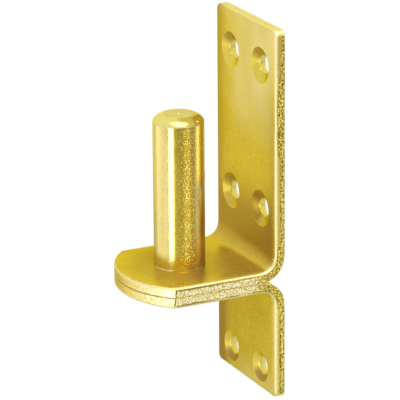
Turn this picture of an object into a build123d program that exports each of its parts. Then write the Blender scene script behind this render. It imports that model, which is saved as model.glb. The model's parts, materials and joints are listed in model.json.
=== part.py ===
"""Plate-mounted hinge pintle: two steel angles riveted tongue on tongue by an upright turned pin.

Millimetres, +Z up. The origin lies on the pin's axis, in the face the turning eye rests on.
X runs across the strip, -Y points out from the post and +Y into it.
"""
import os
from math import hypot, radians, tan

from build123d import *

# Flat steel strip that both angles are cut from
strip_width = 40.0
strip_thickness = 3.5
bend_radius = 4.5
corner_radius = 2.0
edge_roll = 0.9
edge_break = 0.2

# Tongue: how far the pin stands off the plate, and the arc that closes the nose
pin_to_plate = 23.0
nose_reach = 19.8
nose_rise = 8.9

# Upright legs, measured from the tongue's own free face
upper_leg = 76.5
lower_leg = 35.5

# Screw holes with shallow pressed countersinks, smaller in the lower leg
hole_diameter = 6.0
sink_diameter = 11.5
lower_sink_diameter = 10.2
sink_angle = 120.0
hole_spacing = 20.0
top_row_margin = 13.0
middle_row_height = 17.5
bottom_row_margin = 7.5

# Turned pin with its reduced, riveted tail
pin_diameter = 16.0
pin_height = 48.7
bevel_height = 2.2
bevel_width = 3.4
centre_mark = 1.2
shoulder_width = 2.5
tail_clearance = 0.05
rivet_flare = 1.6
rivet_rise = 0.8

# Values that follow from the ones above
pin_radius = pin_diameter / 2
tail_radius = pin_radius - shoulder_width
rivet_radius = tail_radius + rivet_flare
rivet_seat = -2 * strip_thickness
back_of_plate = pin_to_plate + strip_thickness
upper_rows = (upper_leg - top_row_margin, middle_row_height)
lower_rows = (lower_leg - bottom_row_margin,)


def depth_of(point):
    """How far a point lies under the strip's punched side, which the pin stands on."""
    if point.Z >= bend_radius:
        return point.Y - pin_to_plate
    if point.Y <= pin_to_plate - bend_radius:
        return -point.Z
    return hypot(point.Y - pin_to_plate + bend_radius, point.Z - bend_radius) - bend_radius


def outline(strip, depth):
    """Edges round one side of the strip, without the fold lines between its own faces."""
    side = [face for face in strip.faces() if abs(depth_of(face.center()) - depth) < 0.001]
    held = [edge for face in side for edge in face.edges()]
    return [edge for edge in strip.edges() if held.count(edge) == 1]


def bent_strip(leg):
    """Strip bent to a right angle: the tongue's free face at Z=0, the leg rising to Z=leg."""
    with BuildSketch(Plane.YZ) as section:
        with BuildLine():
            inner = FilletPolyline(
                (-nose_reach, 0), (pin_to_plate, 0), (pin_to_plate, leg), radius=bend_radius
            )
            outer = FilletPolyline(
                (-nose_reach, -strip_thickness),
                (back_of_plate, -strip_thickness),
                (back_of_plate, leg),
                radius=bend_radius + strip_thickness,
            )
            Line(inner @ 0, outer @ 0)
            Line(inner @ 1, outer @ 1)
        make_face()
    side = strip_width / 2
    shoulder = nose_rise - nose_reach
    with BuildSketch(Plane.XY.offset(-strip_thickness)) as plan:
        with BuildLine():
            Polyline((side, shoulder), (side, back_of_plate), (-side, back_of_plate), (-side, shoulder))
            ThreePointArc((-side, shoulder), (0, -nose_reach), (side, shoulder))
        make_face()
    strip = extrude(section.sketch, amount=side, both=True)
    strip = strip & extrude(plan.sketch, amount=leg + strip_thickness)
    strip = fillet(strip.edges().filter_by(Axis.Y).group_by(Axis.Z)[-1], corner_radius)
    strip = fillet(outline(strip, 0), edge_roll)
    return chamfer(outline(strip, strip_thickness), edge_break)


def screw_hole(across, height, mouth):
    """Cutter for a screw hole through the leg, countersunk from the front to the mouth's diameter."""
    front = Plane(origin=(across, pin_to_plate, height), z_dir=(0, 1, 0)).location
    sink_depth = (mouth - hole_diameter) / 2 / tan(radians(sink_angle / 2))
    shank = Cylinder(hole_diameter / 2, 4 * strip_thickness)
    sink = Pos(0, 0, sink_depth / 2) * Cone(mouth / 2, hole_diameter / 2, sink_depth)
    return front * (shank + sink)


def angle(leg, rows, mouth):
    """Bent strip with its rows of screw holes and the hole for the pin's tail."""
    strip = bent_strip(leg)
    for height in rows:
        for across in (-hole_spacing / 2, hole_spacing / 2):
            strip = strip - screw_hole(across, height, mouth)
    return strip - Cylinder(tail_radius + tail_clearance, 4 * strip_thickness)


# Upper angle
upper_angle = angle(upper_leg, upper_rows, sink_diameter)

# Lower angle: the same strip bent the other way, sunk underneath for the riveted tail
lower_angle = angle(lower_leg, lower_rows, lower_sink_diameter)
lower_angle = mirror(lower_angle, about=Plane.XY.offset(-strip_thickness))
rivet_sink = Cone(rivet_radius, tail_radius, rivet_flare)
lower_angle = lower_angle - Pos(0, 0, rivet_seat + rivet_flare / 2) * rivet_sink

# Pin: turned, with a convex bevel round its flat top. Its shoulder stands on the upper tongue and its
# tail is peened into the sunk seat below.
bevel_start = (pin_radius - bevel_width, pin_height)
bevel_end = (pin_radius, pin_height - bevel_height)
rivet_face = rivet_seat - rivet_rise
with BuildSketch(Plane.XZ) as profile:
    with BuildLine():
        Polyline(
            (0, rivet_face), (0, pin_height - centre_mark / 2), (centre_mark / 2, pin_height), bevel_start
        )
        TangentArc(bevel_start, bevel_end, tangent=(1, 0))
        Polyline(
            bevel_end,
            (pin_radius, 0),
            (tail_radius, 0),
            (tail_radius, rivet_seat + rivet_flare),
            (rivet_radius, rivet_seat),
            (tail_radius, rivet_face),
            (0, rivet_face),
        )
    make_face()
pintle_pin = revolve(profile.sketch, axis=Axis.Z)

os.makedirs("parts", exist_ok=True)
export_step(upper_angle, "parts/upper_angle.step")
export_step(lower_angle, "parts/lower_angle.step")
export_step(pintle_pin, "parts/pintle_pin.step")
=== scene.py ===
import json
from math import asin, cos, exp, hypot, pi, radians, sin, tan

import bmesh
import bpy
from mathutils import Matrix, Vector, noise
from mathutils.geometry import delaunay_2d_cdt


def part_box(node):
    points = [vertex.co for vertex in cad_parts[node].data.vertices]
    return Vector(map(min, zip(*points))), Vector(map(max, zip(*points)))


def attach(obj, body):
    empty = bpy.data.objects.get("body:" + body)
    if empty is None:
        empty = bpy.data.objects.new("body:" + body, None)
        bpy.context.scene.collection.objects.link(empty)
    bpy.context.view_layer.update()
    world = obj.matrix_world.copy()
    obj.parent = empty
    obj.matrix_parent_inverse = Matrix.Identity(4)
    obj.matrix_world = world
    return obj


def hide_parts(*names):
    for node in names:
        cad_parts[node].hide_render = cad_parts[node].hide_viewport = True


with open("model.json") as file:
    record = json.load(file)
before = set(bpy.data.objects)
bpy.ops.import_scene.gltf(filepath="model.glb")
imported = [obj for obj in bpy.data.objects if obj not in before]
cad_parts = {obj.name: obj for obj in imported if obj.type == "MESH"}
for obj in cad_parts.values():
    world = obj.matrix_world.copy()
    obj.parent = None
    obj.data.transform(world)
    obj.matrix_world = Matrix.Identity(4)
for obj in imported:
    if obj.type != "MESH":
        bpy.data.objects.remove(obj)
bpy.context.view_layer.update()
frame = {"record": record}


# Upper angle: flat steel strip with sheared sides and a cropped arc nose, bent up through a right
# angle. Its leg is drilled and countersunk for four wood screws. The whole piece is zinc plated and
# passivated yellow, and its tongue is the upper of the two layers that the pin is riveted through.
MM = 0.001
mounts = {mount["name"]: mount for mount in frame["record"]["mounts"]}
upper_low, upper_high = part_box("upper_angle")
strip_half = upper_high.x / MM
strip_thick = 3.5
corner_radius = 2.0
edge_roll = 0.9
edge_break = 0.2
pin_to_plate = upper_high.y / MM - strip_thick
nose_reach = -upper_low.y / MM
nose_rise = 8.9
nose_radius = (nose_rise ** 2 + strip_half ** 2) / (2 * nose_rise)
nose_swing = asin(strip_half / nose_radius)
nose_centre = nose_radius - nose_reach
nose_corner = nose_centre - nose_radius * cos(nose_swing)
bend_rise = 5.5
bend_easing = 0.55
bend_start = pin_to_plate - bend_rise
tail_radius = 5.55
screw_radius = mounts["upper_screw_holes"]["dims"]["hole_r_mm"]
sink_radius = 5.75
sink_slope = tan(radians(60))


def lean_at(share):
    """Lean of the strip's skin at a share of the way round the bend, which eases in and out."""
    return pi / 2 * (share - bend_easing * sin(2 * pi * share) / (2 * pi))


bend_steps = 400
bend_shares = [(step + 0.5) / bend_steps for step in range(bend_steps)]
bend_length = bend_rise * bend_steps / sum(cos(lean_at(share)) for share in bend_shares)
bend_end = bend_start + bend_length
bend_step = bend_length / bend_steps
bend_path = [(0.0, 0.0)]
for share in bend_shares:
    run, rise = bend_path[-1]
    lean = lean_at(share)
    bend_path.append((run + bend_step * cos(lean), rise + bend_step * sin(lean)))


def fold(across, along, depth, turn):
    """Carries a point of the flat strip to its place in the bent one, whose leg goes up or down."""
    share = min(1.0, max(0.0, (along - bend_start) / bend_length))
    step = min(bend_steps - 1, int(share * bend_steps))
    (run, rise), (next_run, next_rise) = bend_path[step:step + 2]
    part = share * bend_steps - step
    lean = lean_at(share)
    y = bend_start + run + part * (next_run - run) + depth * sin(lean) + min(0.0, along - bend_start)
    z = rise + part * (next_rise - rise) - depth * cos(lean) + max(0.0, along - bend_end)
    if turn < 0:
        z = -2 * strip_thick - z
    return Vector((across, y, z)) * MM


def spaced(first, last, step):
    """Even steps from first up to, but not including, last."""
    count = max(1, round(abs(last - first) / step))
    return [first + (last - first) * index / count for index in range(count)]


def ramp(value, low, high):
    """Smooth rise from 0 where value is low to 1 where it is high, which may be the smaller of the two."""
    share = min(1.0, max(0.0, (value - low) / (high - low)))
    return share * share * (3 - 2 * share)


def bell(value, centre, width):
    """Smooth bump that is 1 at its centre."""
    return exp(-((value - centre) / width) ** 2)


def strip_rim(end):
    """Outline of the flat strip, anticlockwise.

    Each entry holds a point's place, its way out, how far the cut tore and its way from the nose's corner,
    which is negative along the nose. Near the two corners the points lie closer and the way out leans into
    the mitre, so that inset loops don't cross.
    """
    step = 0.2
    fine_step = 0.07
    fine_length = 1
    mitre_length = 4
    side_tear = 1.0
    end_tear = 0.15
    turn = end - corner_radius
    inner = strip_half - corner_radius
    mitre = tan((pi / 2 - nose_swing) / 2)
    fine_end = nose_corner + fine_length
    rim = []
    for along in spaced(nose_corner, fine_end, fine_step) + spaced(fine_end, turn, step):
        gap = along - nose_corner
        rim.append((strip_half, along, 1, -mitre * max(0.0, 1 - gap / mitre_length), side_tear, gap))
    for angle in spaced(0, pi / 2, step / corner_radius):
        way = (cos(angle), sin(angle))
        tear = side_tear - (side_tear - end_tear) * ramp(angle, 0, pi / 4)
        rim.append((inner + corner_radius * way[0], turn + corner_radius * way[1], *way, tear, end))
    rim += [(across, end, 0, 1, end_tear, end) for across in spaced(inner, 0, step)]
    far_side = [
        (-across, along, -out_across, out_along, tear, gap)
        for across, along, out_across, out_along, tear, gap in rim[:0:-1]
    ]
    rim += [(0, end, 0, 1, end_tear, end), *far_side]
    fine_swing = nose_swing - fine_length / nose_radius
    turns = spaced(-nose_swing, -fine_swing, fine_step / nose_radius)
    turns += spaced(-fine_swing, fine_swing, step / nose_radius)
    turns += spaced(fine_swing, nose_swing, fine_step / nose_radius)
    for angle in turns:
        gap = (nose_swing - abs(angle)) * nose_radius
        lean = mitre * max(0.0, 1 - gap / mitre_length) * (1 if angle > 0 else -1)
        out = (sin(angle) + lean * cos(angle), lean * sin(angle) - cos(angle))
        tear = 0.06 + 0.64 * ramp(1.2 * sin(angle) / sin(nose_swing), 0.1, 1.1)
        rim.append((nose_radius * sin(angle), nose_centre - nose_radius * cos(angle), *out, tear, -gap))
    return rim


def nose_gap(across, along):
    """How far a point of the flat strip lies inside the nose's arc."""
    return nose_radius - hypot(across, along + nose_reach - nose_radius)


def drawn_in(across, along, end):
    """How far the face sinks beside the rim, where the shear pulled the strip's skin down."""
    draw_depth = 0.2
    draw_width = 1.6
    gap = min(strip_half - abs(across), end - along)
    if along < 0:
        gap = min(gap, nose_gap(across, along))
    return draw_depth * exp(-max(0.0, gap) / draw_width)


def painted_front_light(across, along, end, turn):
    """Pale and deep shares painted on the front.

    A painted highlight makes it pale far along each leg towards the near side and beside the near
    rim, and it is also paler at the leg's end. Painted shade darkens the upper bend, round the pin's
    foot on the upper tongue and down one side of each leg, but not beside the near rim.
    """
    height = along - bend_end
    patch = 0.75 + 0.5 * noise.noise(Vector((across * 0.12, along * 0.06, 1.7)))
    # Painted highlight far along the leg, towards the near side.
    painted_highlight = 0.82 * patch * ramp(height, 26, 56) * ramp(across, -16, -2)
    # Painted highlight beside the near rim, where the painted shade stops.
    near_rim_highlight = ramp(across, strip_half - 2.2, strip_half - 1.0)
    # Painted shade in the bend, round the pin's foot and down the far side; the leg's end is paler.
    if turn > 0:
        end_pale = 0.4 * patch * ramp(along, end - 4, end - 0.5)
        side_shade = 0.65 * ramp(across, -11, -20) * ramp(height, 0, 4)
        painted_shade = 0.76 * ramp(height, 22, 7) * ramp(along, bend_start + 1, bend_start + 9)
        foot = 0.5 * ramp(hypot(across, along), 19, 12)
    else:
        end_pale = 0.6 * patch * ramp(along, end - 10, end - 1) * ramp(across, -14, 4)
        side_shade = ramp(across, -10, -16) * ramp(height, 0, 4)
        painted_shade = 0.0
        foot = 0.0
    return max(painted_highlight, end_pale, 0.5 * near_rim_highlight), (1 - near_rim_highlight) * max(painted_shade, foot, side_shade)


def lip_depth(place):
    """Depth at which a cut edge starts to tear, deeper where the shear burnished more of it."""
    lip = 0.74 + 0.15 * noise.noise(place * 0.35)
    if place.z > bend_rise:
        lip += ramp(place.z, 40, 30) * ramp(place.z, 6, 11) + 1.3 * ramp(place.z, 56, 70)
        lip += 0.3 * noise.noise(Vector((5.3, 0.0, place.z * 0.25)))
    elif place.z < -2 * strip_thick - bend_rise:
        lip += 0.75
    return lip


def cracked(place, depth, corner_gap):
    """Share of the crack that wanders down the nose's corner."""
    wander = 0.3 * noise.noise(Vector((0.0, 3.1, place.z * 0.6)))
    wander += 0.15 * noise.noise(Vector((0.0, 7.7, place.z * 1.3)))
    wander -= 0.6 * ramp(place.z, -strip_thick, -2 * strip_thick)
    return bell(corner_gap, wander, 0.16) * ramp(depth, 0.3 * edge_roll, 1.3 * edge_roll)


def nicked(place, depth):
    """Share of the two nicks, one in each leg's cut side."""
    upper_nick = bell(depth, 1.4, 0.5) * bell(place.z, 44, 0.8)
    lower_nick = bell(depth, 1.95, 0.25) * bell(place.z, -30, 2.2)
    return 0.85 * (upper_nick + lower_nick) * (place.x > 0)


def sheared(place, depth, tear, corner_gap):
    """Relief, torn, dark and burnished shares of a cut edge.

    It is burnished under its lip and torn towards the die side, with a line of painted shade where the
    tear starts, for a furrow that the relief leaves out.
    """
    lip = lip_depth(place)
    torn = tear * ramp(depth, lip, lip + 0.35) * ramp(depth, strip_thick, strip_thick - 0.3)
    grain = 0.6 * noise.noise(place * 1.5) + 0.4 * noise.noise(place * 3.3)
    drawn = 0.004 * noise.noise(Vector((place.x * 2.0, place.y * 2.0, place.z * 0.3)))
    relief = torn * tear * (0.28 * grain - 0.06) + (1 - torn) * drawn * ramp(depth, 0, edge_roll)
    groove_shade = 0.0
    # Painted shade: a dark line where the tear starts, with no furrow in the relief.
    if tear > 0.7:
        groove_end = 22 if place.z > -strip_thick else 11
        patch = 0.35 + 0.6 * ramp(corner_gap, groove_end, groove_end - 6)
        patch += 0.5 * noise.noise(place * 0.25)
        groove_shade = min(1.0, patch) * tear * bell(depth, lip + 0.28, 0.22)
    burnish = 0.0
    if lip > edge_roll:
        burnish_start = 1.1 * edge_roll
        burnish = tear * ramp(depth, burnish_start, burnish_start + 0.25) * ramp(depth, lip + 0.1, lip - 0.1)
    crack = cracked(place, depth, corner_gap)
    nick = tear * nicked(place, depth)
    return relief - 0.3 * crack - 0.2 * nick, torn, max(crack, groove_shade, 0.1 * burnish, nick), burnish


def sink_profile(mouth):
    """Radius and depth down a screw hole: shallow pressed cone, shank bore, broken back edge."""
    foot = (mouth - screw_radius) / sink_slope
    back_break = 0.1
    profile = [(mouth + 0.25, 0.0), (mouth + 0.06, 0.0)]
    profile += [(mouth - drop * sink_slope, drop) for drop in spaced(0.04, foot, 0.1)]
    profile += [(screw_radius + 0.03, foot - 0.01), (screw_radius, foot + 0.06)]
    profile += [(screw_radius, depth) for depth in spaced(foot + 0.2, strip_thick - back_break, 0.2)]
    profile += [(screw_radius, strip_thick - back_break), (screw_radius + back_break, strip_thick)]
    return profile + [(screw_radius + 0.3, strip_thick)]


def strip_mesh(end, sinks, mouth, tail, turn):
    """Points, faces and named shares of one bent strip.

    Sinks are the places of its screw holes, mouth is their radius at the front, and tail is the profile of
    the pin's hole.
    """
    points = []
    faces = []
    shares = {name: [] for name in ("torn", "pale", "deep", "fresh", "along", "under")}

    def add(across, along, depth, torn=0.0, pale=0.0, dark=0.0, fresh=0.0, bored_out=False):
        """Adds a point with its shares, and gives back its index."""
        sunk = drawn_in(across, along, end) * max(0.0, 1 - depth / edge_roll)
        points.append(fold(across, along, depth + sunk, turn))
        painted_highlight, deep = 0.0, 0.0
        if depth < edge_roll and not bored_out:
            painted_highlight, deep = painted_front_light(across, along, end, turn)
        values = (torn, max(pale, painted_highlight), max(dark, deep), fresh, along, depth)
        for share, value in zip(shares.values(), values):
            share.append(value)
        return len(points) - 1

    def close(lower, upper):
        """Joins two loops of points by a band of faces."""
        for index in range(len(lower)):
            after = (index + 1) % len(lower)
            faces.append((lower[index], lower[after], upper[after], upper[index]))

    rim = strip_rim(end)
    break_start = strip_thick - edge_break
    seam_dark = 0.35
    rows = [(0.0, edge_roll + inset) for inset in (0.5, 0.3, 0.12)]
    for lean in spaced(0, pi / 2, pi / 14):
        rows.append((edge_roll * (1 - cos(lean)), edge_roll * (1 - sin(lean))))
    rows += [(depth, 0.0) for depth in spaced(edge_roll, break_start, 0.16)]
    rows += [(break_start, 0.0), (strip_thick, edge_break), (strip_thick, edge_break + 0.15)]
    loops = []
    for depth, inset in rows:
        on_cut = inset < edge_roll * 0.9 and depth < strip_thick
        at_back = depth > break_start - 0.05
        loop = []
        for across, along, out_across, out_along, tear, corner_gap in rim:
            place = fold(across, along, depth, turn) / MM
            relief, torn, dark, burnish = sheared(place, depth, tear, corner_gap)
            shift = relief - inset if on_cut else -inset
            # Pale on the tongue's cut sides and on untorn cut sides; on the rolled lip it is a painted
            # highlight.
            straw = max(ramp(along, bend_start + 3, bend_start - 3), 1 - torn)
            mottle = min(1.0, 0.85 + 0.6 * noise.noise(place * 1.7))
            pale = straw * mottle * ramp(depth, 0, 0.4 * edge_roll) * (1 - dark) * (1 - 0.95 * burnish)
            if corner_gap < 0:
                pale *= 1 - 0.6 * ramp(across, 13, 4) * ramp(across, -19, -9) * ramp(depth, 0.8, 1.2)
            if at_back and along < bend_start:
                dark = seam_dark
            loop.append(add(across + out_across * shift, along + out_along * shift, depth, torn, pale, dark))
        loops.append(loop)
    for lower, upper in zip(loops, loops[1:]):
        close(lower, upper)

    def bored(centre, profile):
        """Wall of a hole: painted shade darkens its cone on the side of the leg's end and a painted
        highlight brightens the rest, and its bore is painted brighter gold and paler on its upper side.
        """
        segments = 96
        near_bend = turn > 0 and centre[1] < 45
        # Cones: stain is the strength of the painted shade, and bright that of the painted highlight.
        bright = 0.9 if near_bend and centre[0] > 0 else 0.4
        stain = 0.7 if turn > 0 else 0.95
        fade = 1.5 if near_bend else 0.0
        rings = []
        for radius, depth in profile:
            cut = depth > 0
            ring = []
            for index in range(segments):
                angle = 2 * pi * index / segments
                up = sin(angle)
                # Bore wall: painted highlight, paler on its upper side and brighter gold all round.
                if radius <= screw_radius + 0.03:
                    painted_light_shares = (0.1 + 0.6 * ramp(turn * up, -0.5, 0.5), 0.0, 1.0)
                else:
                    painted_shade = max(stain * ramp(1.3 * up, 0, 1), 0.2 * ramp(-fade * up, 0.2, 1.2))
                    painted_light_shares = (0.0, cut * painted_shade, cut * bright * ramp(fade * up, -1.2, -0.2))
                spot = (centre[0] + radius * cos(angle), centre[1] + radius * up)
                ring.append(add(*spot, depth, 0.0, *painted_light_shares, cut))
            rings.append(ring)
        for lower, upper in zip(rings, rings[1:]):
            close(lower, upper)
        return centre, profile, rings

    holes = [bored(centre, sink_profile(mouth)) for centre in sinks]
    holes.append(bored((0, 0), tail))

    def sheet(rim_loop, rim_inset, ring, depth):
        """Fills the front or the back between the rim's loop and one ring of each hole."""
        flat = []
        index_of = []
        hole_of = []
        for corner, (across, along, out_across, out_along, *_) in zip(rim_loop, rim):
            flat.append(Vector((across - out_across * rim_inset, along - out_along * rim_inset)))
            index_of.append(corner)
            hole_of.append(None)
        edges = [(index, (index + 1) % len(rim)) for index in range(len(rim))]
        for hole, (centre, profile, rings) in enumerate(holes):
            first = len(flat)
            radius = profile[ring][0]
            segments = len(rings[ring])
            for index, corner in enumerate(rings[ring]):
                angle = 2 * pi * index / segments
                flat.append(Vector((centre[0] + radius * cos(angle), centre[1] + radius * sin(angle))))
                index_of.append(corner)
                hole_of.append(hole)
                edges.append((first + index, first + (index + 1) % segments))
        rim_clearance = 2.3
        hole_clearance = 0.6
        row_step = 2.5
        column_step = 2.4
        bend_rows = 24
        rows_along = spaced(bend_start, bend_end + 0.01, bend_length / bend_rows)
        rows_along += spaced(4.0 - nose_reach, bend_start - 1, row_step)
        rows_along += spaced(bend_end + 2, end - 2.2, row_step)
        margins = [strip_half - gap for gap in (rim_clearance, 2.9, 3.7, 4.8, 6.2)]
        middle = strip_half - 8
        crossing = margins + spaced(middle, -middle, column_step)
        crossing += [-across for across in margins[::-1]]
        for along in rows_along:
            for across in crossing:
                spot = Vector((across, along))
                clear = all(
                    (spot - Vector(centre)).length > profile[ring][0] + hole_clearance
                    for centre, profile, _ in holes
                )
                if clear and (along > 0 or nose_gap(across, along) > rim_clearance):
                    flat.append(spot)
                    index_of.append(add(across, along, depth))
                    hole_of.append(None)
        inside_only = 1
        triangles, sources = delaunay_2d_cdt(flat, edges, [], inside_only, 1e-6)[2:4]
        for triangle in triangles:
            corners = [sources[corner][0] for corner in triangle]
            around = {hole_of[corner] for corner in corners}
            if None in around or len(around) > 1:
                faces.append(tuple(index_of[corner] for corner in corners))

    sheet(loops[0], rows[0][1], 0, 0.0)
    sheet(loops[-1], rows[-1][1], -1, strip_thick)
    return points, faces, shares


def piece_from(name, points, faces, shares):
    """Smooth-shaded object with its named shares kept on its points."""
    mesh = bpy.data.meshes.new(name)
    mesh.from_pydata(points, [], faces)
    for share_name, values in shares.items():
        share = mesh.attributes.new(share_name, "FLOAT", "POINT")
        share.data.foreach_set("value", values)
    work = bmesh.new()
    work.from_mesh(mesh)
    bmesh.ops.recalc_face_normals(work, faces=work.faces)
    work.to_mesh(mesh)
    work.free()
    mesh.shade_smooth()
    piece = bpy.data.objects.new(name, mesh)
    bpy.context.scene.collection.objects.link(piece)
    return piece


class Tone:
    """One socket of a finish, so that sums on it read as plain expressions."""

    def __init__(self, finish, socket):
        self.finish = finish
        self.socket = socket

    def maths(self, operation, first, second):
        return self.finish.node("ShaderNodeMath", {"operation": operation}, {0: first, 1: second})

    def __add__(self, other):
        return self.maths("ADD", self, other)

    def __radd__(self, other):
        return self.maths("ADD", other, self)

    def __sub__(self, other):
        return self.maths("SUBTRACT", self, other)

    def __rsub__(self, other):
        return self.maths("SUBTRACT", other, self)

    def __mul__(self, other):
        return self.maths("MULTIPLY", self, other)

    def __rmul__(self, other):
        return self.maths("MULTIPLY", other, self)


class Finish:
    """Node tree of one finish."""

    def __init__(self, tree):
        self.tree = tree
        tree.nodes.clear()

    def node(self, kind, settings, sockets, output=0):
        """Adds a node: its settings first, then the values or links of its sockets."""
        made = self.tree.nodes.new(kind)
        for key, value in settings.items():
            setattr(made, key, value)
        for key, value in sockets.items():
            if isinstance(value, Tone):
                self.tree.links.new(value.socket, made.inputs[key])
            else:
                made.inputs[key].default_value = value
        return Tone(self, made.outputs[output]) if made.outputs else None

    def mixed(self, share, first, second):
        """Colour that goes from first to second with the share."""
        return self.node("ShaderNodeMix", {"data_type": "RGBA"}, {0: share, 6: first, 7: second}, 2)

    def speckle(self, place, per_mm, detail):
        """Noise from 0 to 1, with so many features to the millimetre."""
        sockets = {"Vector": place, "Scale": per_mm / MM, "Detail": detail, "Roughness": 0.55}
        return self.node("ShaderNodeTexNoise", {}, sockets)

    def ramp(self, value, low, high):
        """Smooth rise from 0 at low to 1 at high."""
        sockets = {"Value": value, "From Min": low, "From Max": high}
        return self.node("ShaderNodeMapRange", {"interpolation_type": "SMOOTHSTEP"}, sockets)


def yellow_zinc(name, sheen, dull, haze, edge_tint, straw_tint, grain_height):
    """Yellow passivated zinc: clouded gold, straw where painted highlight lies and brown where painted
    shade or dark marks lie, with dark grain and painted glints where the steel tore.
    """
    dark_gold = (0.60, 0.42, 0.042, 1)
    light_gold = (0.68, 0.49, 0.06, 1)
    stain_gold = (0.58, 0.43, 0.07, 1)
    grain_gold = (0.48, 0.35, 0.035, 1)
    spark_gold = (0.84, 0.68, 0.18, 1)
    highlight_gold = (0.82, 0.70, 0.10, 1)
    shade_and_mark_brown = (0.34, 0.19, 0.04, 1)
    torn_hollow = (0.17, 0.095, 0.001, 1)
    torn_glint = (1.0, 0.82, 0.17, 1)
    straw_hollow = (0.70, 0.57, 0.06, 1)
    straw_glint = (1.0, 0.98, 0.80, 1)
    torn_blotch = (0.3, 0.19, 0.005, 1)
    torn_groove_shade_and_crack = (0.10, 0.055, 0.002, 1)
    glint_ground_shade = (0.46, 0.29, 0.005, 1)
    painted_glint_spark = (1.0, 0.84, 0.26, 1)
    powder = (0.93, 0.80, 0.23, 1)
    material = bpy.data.materials.new(name)
    material.use_nodes = True
    finish = Finish(material.node_tree)
    place = finish.node("ShaderNodeTexCoord", {}, {}, "Object")
    torn, pale, deep, fresh, flecked, along, under = (
        finish.node("ShaderNodeAttribute", {"attribute_name": share}, {}, "Fac")
        for share in ("torn", "pale", "deep", "fresh", "flecked", "along", "under")
    )
    lengthwise = finish.node("ShaderNodeCombineXYZ", {}, {0: along * (0.3 * MM), 1: under * MM})
    cloud = finish.ramp(finish.speckle(place, 0.09, 3.0), 0.35, 0.65)
    stain = finish.ramp(finish.speckle(place, 0.4, 4.0), 0.45, 0.75)
    fine = finish.speckle(place, 1.7, 3.0)
    glint = finish.ramp(fine, 0.38, 0.6)
    blotch = finish.ramp(finish.speckle(lengthwise, 0.9, 3.0), 0.45, 0.6)
    spark = finish.ramp(finish.speckle(place, 2.6, 0.0), 0.58, 0.68)
    colour = finish.mixed(cloud, dark_gold, light_gold)
    colour = finish.mixed(stain * 0.5, colour, stain_gold)
    colour = finish.mixed(finish.ramp(fine, 0.5, 0.7) * 0.25, colour, grain_gold)
    colour = finish.mixed(spark * 0.5, colour, spark_gold)
    # Painted highlight: brighter gold on the bores, the cones and one side of the pin's bevel.
    colour = finish.mixed(fresh, colour, highlight_gold)
    colour = finish.mixed(pale, colour, straw_tint)
    # Cut steel: dark grain, with painted glints where the glint noise rises.
    hollow = finish.mixed(pale, torn_hollow, straw_hollow)
    glint_colour = finish.mixed(pale, torn_glint, straw_glint)
    fracture = finish.mixed(glint, hollow, glint_colour)
    fracture = finish.mixed(0.5 * blotch * (1.0 - pale), fracture, torn_blotch)
    colour = finish.mixed(torn, colour, fracture)
    # Brown for painted shade, and for dark marks such as the crack, the nicks and the seam.
    colour = finish.mixed(deep, colour, shade_and_mark_brown)
    # Darkest where cut steel is deep: painted shade below the lip, and the crack and nicks.
    colour = finish.mixed(0.85 * torn * deep, colour, torn_groove_shade_and_crack)
    # Painted shade and painted glints on the pin's front.
    colour = finish.mixed(flecked * 0.65, colour, glint_ground_shade)
    colour = finish.mixed(flecked * flecked * spark, colour, painted_glint_spark)
    relief = {"Strength": 1.0, "Distance": grain_height * MM, "Height": fine * (0.6 + flecked)}
    bump = finish.node("ShaderNodeBump", {}, relief)
    sockets = {
        "Base Color": colour,
        "Metallic": 1.0,
        "Roughness": sheen + 0.06 * stain + 0.05 * cloud + dull * pale + 0.2 * deep,
        "Specular Tint": edge_tint,
        "Normal": bump,
    }
    metal = finish.node("ShaderNodeBsdfPrincipled", {}, sockets)
    bloom = finish.node("ShaderNodeBsdfDiffuse", {}, {"Color": powder})
    sparkle = haze * (1.0 - torn) + 0.3 * torn * glint * glint * (1.0 - pale) * (1.0 - deep)
    surface = finish.node("ShaderNodeMixShader", {}, {0: sparkle, 1: metal, 2: bloom})
    finish.node("ShaderNodeOutputMaterial", {}, {"Surface": surface})
    return material


def screw_places(mount, turn):
    """Places of a leg's screw holes on the flat strip."""
    dims = mount["dims"]
    height = mount["pos_m"][2] / MM
    half_rise = dims.get("spacing_y_mm", 0.0) / 2
    heights = sorted({height - half_rise, height + half_rise})
    rise = [z if turn > 0 else -2 * strip_thick - z for z in heights]
    sides = (-dims["spacing_x_mm"] / 2, dims["spacing_x_mm"] / 2)
    return [(across, bend_end + z - bend_rise) for z in rise for across in sides]


bore_break = 0.05
bore_lap = 0.3
tail_back = [(tail_radius, strip_thick - bore_break), (tail_radius + bore_break, strip_thick)]
tail_back += [(tail_radius + bore_lap, strip_thick)]
upper_tail = [(tail_radius + bore_lap, 0.0), (tail_radius + bore_break, 0.0), (tail_radius, bore_break)]
upper_tail += tail_back
upper_end = bend_end + upper_high.z / MM - bend_rise
upper_sinks = screw_places(mounts["upper_screw_holes"], 1)
upper_shape = strip_mesh(upper_end, upper_sinks, sink_radius, upper_tail, 1)
strip_finish = yellow_zinc(
    "yellow_zinc_strip",
    sheen=0.23,
    dull=0.22,
    haze=0.07,
    edge_tint=(1.0, 0.88, 0.25, 1),
    straw_tint=(0.80, 0.71, 0.36, 1),
    grain_height=0.03,
)
upper_angle = piece_from("upper_angle_plated", *upper_shape)
upper_angle.data.materials.append(strip_finish)
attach(upper_angle, "root")
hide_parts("upper_angle")


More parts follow.
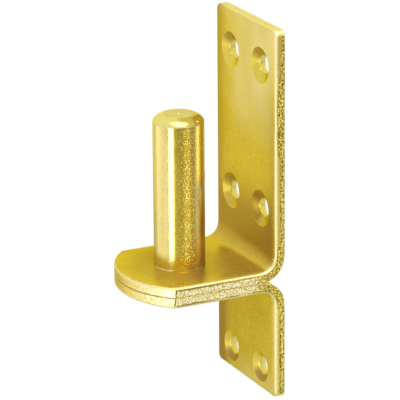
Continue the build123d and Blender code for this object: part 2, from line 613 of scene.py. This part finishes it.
# Lower angle: the same strip with a shorter leg, bent down instead of up and laid tongue to tongue
# under the upper one. Two countersunk screw holes, and a sunk seat below for the pin's riveted tail.
lower_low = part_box("lower_angle")[0]
rivet_flare = 1.6
lower_sink_radius = 5.1
seat_radius = tail_radius + rivet_flare
lower_tail = [(seat_radius + 0.2, 0.0), (seat_radius, 0.0), (tail_radius, rivet_flare), *tail_back]
lower_end = bend_end - 2 * strip_thick - lower_low.z / MM - bend_rise
lower_sinks = screw_places(mounts["lower_screw_holes"], -1)
lower_shape = strip_mesh(lower_end, lower_sinks, lower_sink_radius, lower_tail, -1)
lower_angle = piece_from("lower_angle_plated", *lower_shape)
lower_angle.data.materials.append(strip_finish)
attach(lower_angle, "root")
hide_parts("lower_angle")


# Pin: turned from drawn round bar, bevelled at the top with the lathe's centre mark left in it. Its
# shoulder stands on the upper tongue and its thinner tail is peened over under the lower one.
pin_low, pin_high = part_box("pintle_pin")
pin_radius = mounts["pintle_pin"]["dims"]["r_mm"]
pin_top = pin_high.z / MM
pin_bottom = pin_low.z / MM
bevel_height = 2.2
bevel_width = 3.4
bevel_radius = (bevel_height ** 2 + bevel_width ** 2) / (2 * bevel_height)
flat_radius = pin_radius - bevel_width
rim_height = pin_top - bevel_height
rivet_seat = -2 * strip_thick
rivet_radius = seat_radius - 0.05
shank_radius = tail_radius - 0.05
centre_mark = ((0.0, 0.6), (0.25, 0.35), (0.5, 0.08), (0.65, 0.0))
rim_round = ((-0.12, 0.1), (-0.05, 0.0), (-0.015, -0.12))
foot_flare = ((0.0, 0.5), (0.03, 0.25), (0.1, 0.08), (0.15, 0.0))
flat_step = 0.12
bevel_step = 0.04
side_step = 0.2
pin_profile = [(radius, pin_top - drop) for radius, drop in centre_mark]
pin_profile += [(radius, pin_top) for radius in spaced(0.8, flat_radius, flat_step)]
for lean in spaced(0, asin(bevel_width / bevel_radius) - 0.03, bevel_step):
    pin_profile.append((flat_radius + bevel_radius * sin(lean), pin_top - bevel_radius * (1 - cos(lean))))
pin_profile += [(pin_radius + out, rim_height + rise) for out, rise in rim_round]
pin_profile += [(pin_radius, height) for height in spaced(rim_height - 0.25, 0.5, side_step)]
pin_profile += [(pin_radius + flare, height) for flare, height in foot_flare]
pin_profile += [(shank_radius, 0.0), (shank_radius, rivet_seat + rivet_flare), (rivet_radius, rivet_seat)]
pin_profile += [(rivet_radius - 0.1, rivet_seat - 0.1), (tail_radius + 0.15, pin_bottom + 0.1)]
pin_profile += [(tail_radius - 0.1, pin_bottom), (tail_radius - 0.4, pin_bottom), (0.0, pin_bottom)]


def pin_painted_light(angle, radius, height):
    """Pale, deep, bright and glint shares painted on the pin.

    A painted highlight makes it pale on one flank, in two lines down the other, round the rim and on
    one side of the bevel, which is painted brighter gold there too. Painted shade darkens it low on the
    second flank, at the foot and on the bevel's other side, and painted glints fleck its front between
    the flanks, where its bumps stand taller.
    """

    def facing(bearing):
        """1 on the side that a bearing in degrees points to, and -1 on the far side."""
        return cos(angle - radians(bearing))

    below_rim = height < rim_height
    on_bevel = not below_rim and radius > flat_radius
    # Painted glints on the front, where the bumps also stand taller.
    flecked = ramp(facing(-6), 0.84, 1.0) * ramp(height, 0.5, 2.5) * below_rim
    if on_bevel:
        fresh = 0.2 + 0.8 * ramp(facing(-100), 0, 0.45)
        painted_highlight = 0.4 * fresh
        deep = 0.2 * ramp(facing(15), 0.6, 0.85)
    else:
        fresh = 0.0
        # Painted highlight on one flank and in two lines; painted shade low on the other flank.
        flank = 0.45 * ramp(facing(-78), 0.7, 0.85) if below_rim else 0.6
        painted_highlight = max(flank, 1.4 * ramp(facing(20), 0.988, 0.994), 0.6 * ramp(facing(40), 0.92, 0.94))
        deep = 0.75 * ramp(height, 15, 6) * ramp(facing(22), 0.8, 0.92)
    if abs(height - rim_height) < 0.2:
        painted_highlight = max(painted_highlight, ramp(facing(-30), 0.75, 0.85))
    if -0.01 < height < 0.4:
        deep = max(deep, 0.9 * ramp(facing(-15), 0.85, 0.93))
    streak = Vector((radius * cos(angle) * 0.8, radius * sin(angle) * 0.8, height * 0.06))
    return painted_highlight * (0.65 + 0.3 * noise.noise(streak)), deep, fresh, flecked


pin_points = []
pin_shares = {name: [] for name in ("pale", "deep", "fresh", "flecked")}
pin_segments = 208
turning_depth = 0.007
turning_pitch = 0.9
for radius, height in pin_profile:
    roughness = 0.004 if 0.3 < height < rim_height else 0.006
    turned = turning_depth * sin(2 * pi * radius / turning_pitch) if height == pin_top else 0.0
    for index in range(pin_segments if radius else 1):
        angle = 2 * pi * index / pin_segments
        place = Vector((radius * cos(angle), radius * sin(angle), height))
        grain = 0.6 * noise.noise(place * 1.4) + 0.9 * noise.noise(place * 0.5)
        out = Vector((cos(angle), sin(angle), 0)) if height < pin_top - 0.3 else Vector((0, 0, 1))
        pin_points.append((place + out * (grain * roughness + turned)) * MM)
        for share, value in zip(pin_shares.values(), pin_painted_light(angle, radius, height)):
            share.append(value)

pin_faces = []
ring_counts = [pin_segments if radius else 1 for radius, _ in pin_profile]
start = 0
for count, next_count in zip(ring_counts, ring_counts[1:]):
    for index in range(pin_segments):
        ring = [start + index % count, start + (index + 1) % count]
        below = [start + count + (index + 1) % next_count, start + count + index % next_count]
        pin_faces.append(tuple(dict.fromkeys(ring + below)))
    start += count
pin_finish = yellow_zinc(
    "yellow_zinc_pin",
    sheen=0.15,
    dull=0.08,
    haze=0.03,
    edge_tint=(1.0, 0.9, 0.4, 1),
    straw_tint=(0.76, 0.78, 0.56, 1),
    grain_height=0.012,
)
pintle_pin = piece_from("pintle_pin_plated", pin_points, pin_faces, pin_shares)
pintle_pin.data.materials.append(pin_finish)
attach(pintle_pin, "root")
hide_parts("pintle_pin")


# Studio: plain pale floor and white surround, both plain white to the camera. Soft lamps stand round the
# part, and a long-lens camera looks from the photograph's angle.
floor_reach = 3.0
floor_level = -0.12
floor_mesh = bpy.data.meshes.new("studio_floor")
floor_mesh.from_pydata(
    [(x * floor_reach, y * floor_reach, floor_level) for x, y in ((-1, -1), (1, -1), (1, 1), (-1, 1))],
    [],
    [(0, 1, 2, 3)],
)
floor = bpy.data.objects.new("studio_floor", floor_mesh)
bpy.context.scene.collection.objects.link(floor)
floor_material = bpy.data.materials.new("pale_floor")
floor_material.use_nodes = True
pale_floor = Finish(floor_material.node_tree)
seen = pale_floor.node("ShaderNodeLightPath", {}, {}, "Is Camera Ray")
mirrored = pale_floor.node("ShaderNodeLightPath", {}, {}, "Is Glossy Ray")
through = pale_floor.node("ShaderNodeLightPath", {}, {}, "Is Transmission Ray")
matt = pale_floor.node("ShaderNodeBsdfDiffuse", {}, {"Color": (0.7, 0.7, 0.7, 1)})
glow = pale_floor.node("ShaderNodeEmission", {}, {"Color": (1, 1, 1, 1), "Strength": 1.0})
spot = pale_floor.node("ShaderNodeNewGeometry", {}, {}, "Position")
towards_bright = {0: spot, 1: (-0.891, -0.454, 0)}
reach = pale_floor.node("ShaderNodeVectorMath", {"operation": "DOT_PRODUCT"}, towards_bright, "Value")
swept = 0.25 + 0.75 * pale_floor.ramp(reach, 0.33, 0.47)
lit = pale_floor.node("ShaderNodeMixShader", {}, {0: seen + through + swept * mirrored, 1: matt, 2: glow})
away = pale_floor.node("ShaderNodeNewGeometry", {}, {}, "Backfacing")
clear = pale_floor.node("ShaderNodeBsdfTransparent", {}, {})
shown = pale_floor.node("ShaderNodeMixShader", {}, {0: away, 1: lit, 2: clear})
pale_floor.node("ShaderNodeOutputMaterial", {}, {"Surface": shown})
floor_mesh.materials.append(floor_material)

world = bpy.data.worlds.new("white_surround")
bpy.context.scene.world = world
world.use_nodes = True
surround = Finish(world.node_tree)
seen = surround.node("ShaderNodeLightPath", {}, {}, "Is Camera Ray")
mirrored = surround.node("ShaderNodeLightPath", {}, {}, "Is Glossy Ray")
through = surround.node("ShaderNodeLightPath", {}, {}, "Is Transmission Ray")
level = 0.5 + 0.5 * (seen + through) + 0.46 * mirrored
white = surround.node("ShaderNodeBackground", {}, {"Color": (1, 1, 1, 1), "Strength": level})
surround.node("ShaderNodeOutputWorld", {}, {"Surface": white})


def soft_box(name, place, turn, width, height, brightness):
    """Lit rectangle that the camera doesn't see."""
    lamp = bpy.data.lights.new(name, "AREA")
    lamp.shape = "RECTANGLE"
    lamp.size = width
    lamp.size_y = height
    lamp.energy = brightness * pi * width * height
    box = bpy.data.objects.new(name, lamp)
    box.location = place
    box.rotation_euler = turn
    box.visible_camera = False
    bpy.context.scene.collection.objects.link(box)


def lamp_card(name, azimuth, distance, width, low, high, brightness):
    """Upright soft box on the side that the azimuth gives, facing the pin, from one level to another."""
    out = Vector((sin(radians(azimuth)), -cos(radians(azimuth)), 0))
    place = out * distance + Vector((0, 0, (low + high) / 2))
    soft_box(name, place, (-out).to_track_quat("-Z", "Y").to_euler(), width, high - low, brightness)


lamp_card("key_strip", 31, 0.22, width=0.074, low=-0.075, high=0.005, brightness=6.0)
lamp_card("low_strip", 31, 0.22, width=0.074, low=-0.118, high=-0.092, brightness=6.0)
lamp_card("left_card", -20, 0.24, width=0.3, low=-0.12, high=0.0, brightness=0.6)
lamp_card("right_card", 102, 0.25, width=0.125, low=-0.12, high=-0.02, brightness=0.5)
right_place = Vector((0.2, 0, 0.37))
right_turn = right_place.to_track_quat("Z", "Y").to_euler()
soft_box("right_box", right_place, right_turn, width=0.16, height=0.16, brightness=20.0)
soft_box("overhead_box", (0.1, -0.1, 0.6), (0, 0, 0), width=0.3, height=0.3, brightness=1.5)

camera_data = bpy.data.cameras.new("camera")
camera_data.lens = 273.81
camera_data.sensor_width = 36.0
camera_data.clip_start = 0.01
camera_data.clip_end = 20.0
camera = bpy.data.objects.new("camera", camera_data)
azimuth = radians(63.934)
elevation = radians(18.446)
roll = radians(-0.454)
distance = 0.94859
aim = Vector((-3.598, 8.961, 18.32)) * MM
back = Vector((sin(azimuth) * cos(elevation), -cos(azimuth) * cos(elevation), sin(elevation)))
upright = (-back).to_track_quat("-Z", "Y").to_matrix() @ Matrix.Rotation(roll, 3, "Z")
camera.matrix_world = Matrix.Translation(aim + back * distance) @ upright.to_4x4()
bpy.context.scene.collection.objects.link(camera)
bpy.context.scene.camera = camera
bpy.context.scene.view_settings.view_transform = "Standard"
